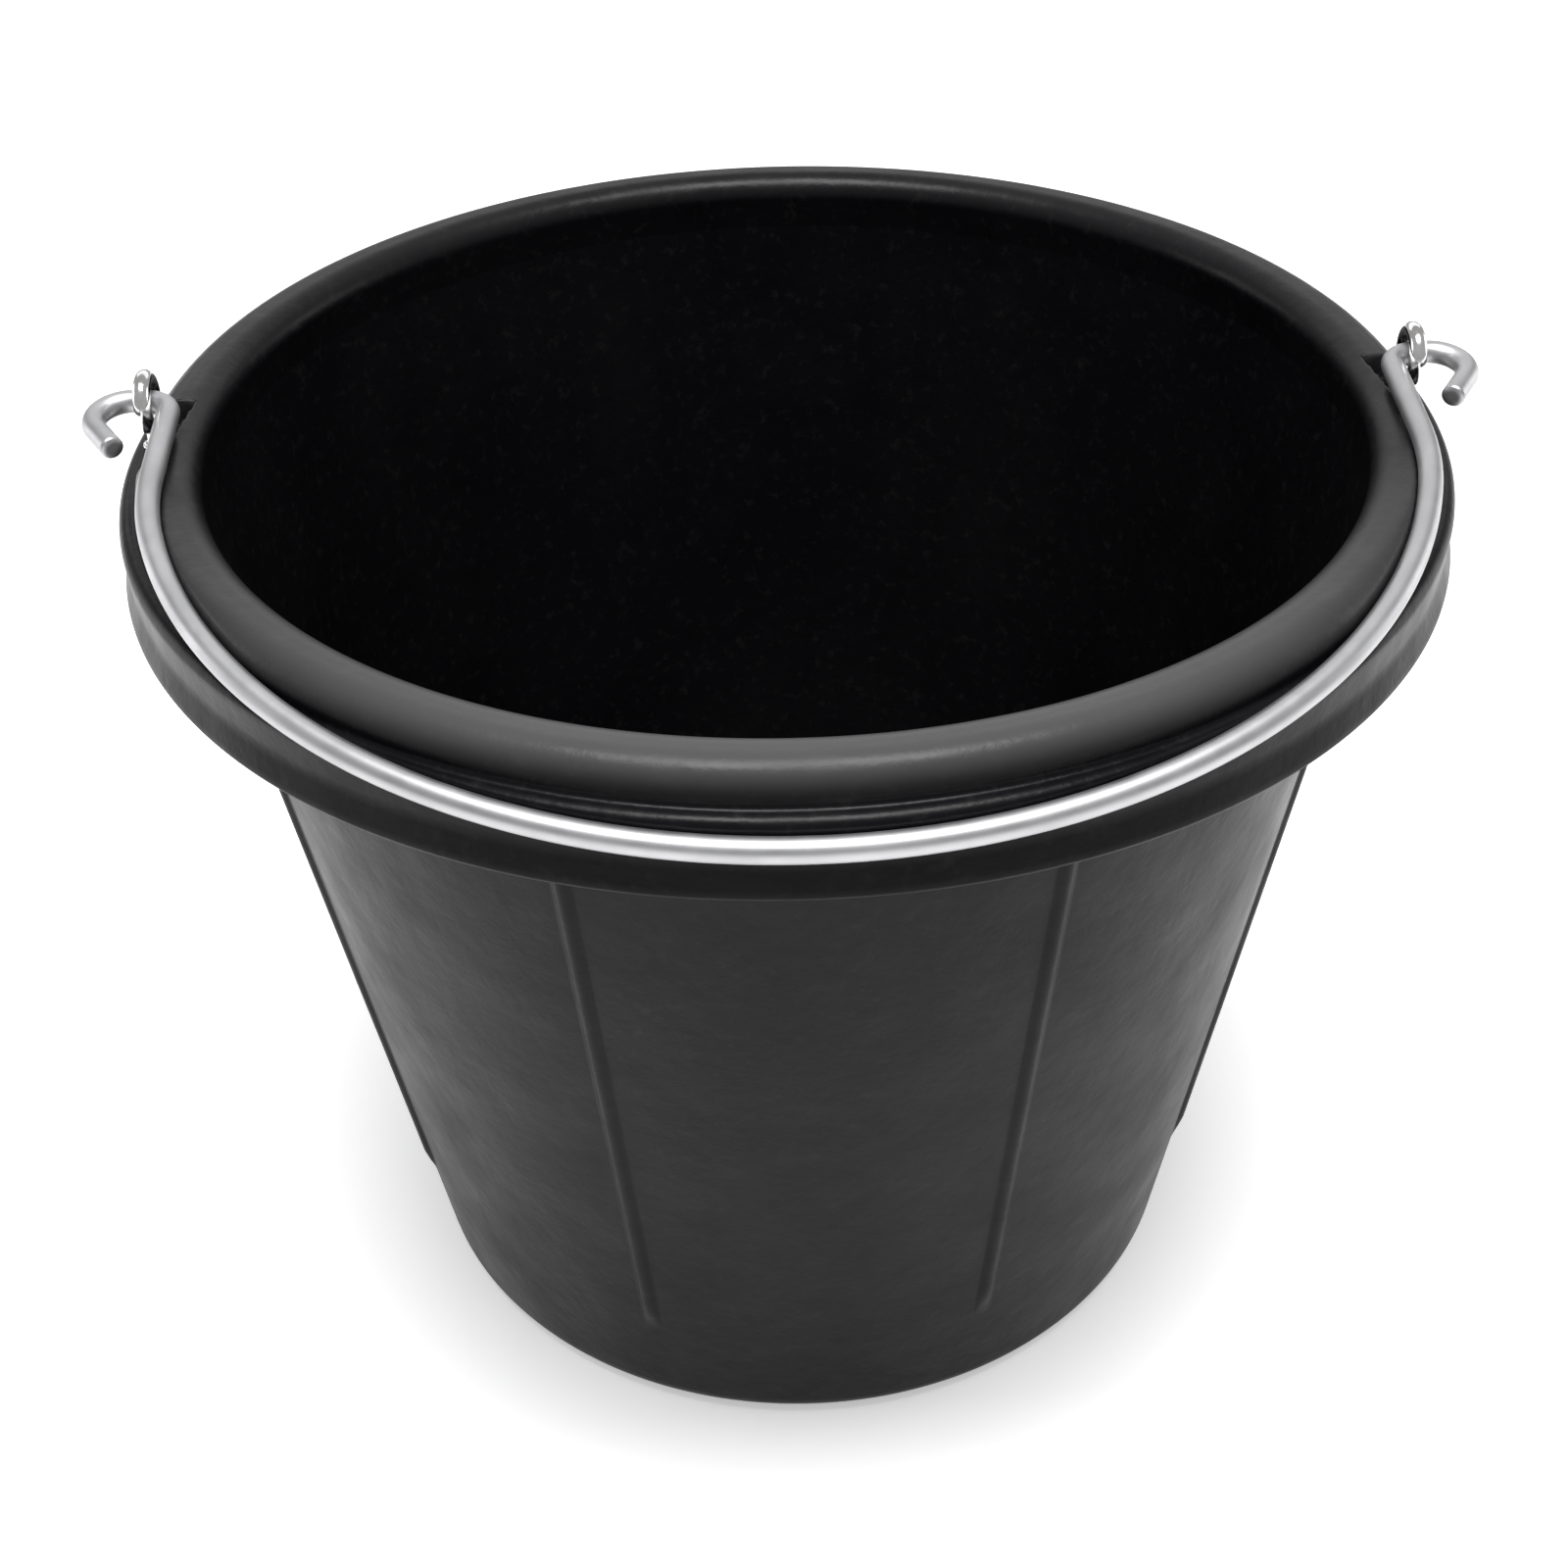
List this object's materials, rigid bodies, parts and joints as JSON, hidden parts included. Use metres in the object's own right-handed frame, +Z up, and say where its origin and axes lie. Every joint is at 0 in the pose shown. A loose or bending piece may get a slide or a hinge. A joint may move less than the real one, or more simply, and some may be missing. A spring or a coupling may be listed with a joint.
{
  "type": "feed bucket",
  "caption": "Round tapered rubber feed bucket with a rolled rim, ribbed wall and a wire bail that swings in two eye bolts.",
  "frame": {"origin": "centre of the flat underside", "axes": "+Z up, +X along the bail's pivot line to the right-hand eye bolt, -Y the side where the bail rests against the rim"},
  "size_m": [0.3626, 0.3555, 0.2825],
  "materials": {
    "rubber": "charcoal moulded rubber, dull with a slight sheen",
    "galvanised_wire": "smooth zinc-coated steel wire, satin",
    "bright_steel": "bright plated steel, polished",
    "zinc_plate": "plain zinc-plated fasteners"
  },
  "bodies": {
    "bucket": {"bucket_body": "rubber", "eye_bolt_left": "bright_steel", "eye_bolt_right": "bright_steel", "washer_left": "zinc_plate", "washer_right": "zinc_plate", "nut_left": "zinc_plate", "nut_right": "zinc_plate"},
    "bail": {"bail_handle": "galvanised_wire"}
  },
  "joints": [
    {"name": "bail_pivot", "type": "hinge", "parent": "bucket", "child": "bail", "pos_m": [0, 0, 0.274], "axis": [-1, 0, 0], "range_deg": [0, 187]}
  ]
}
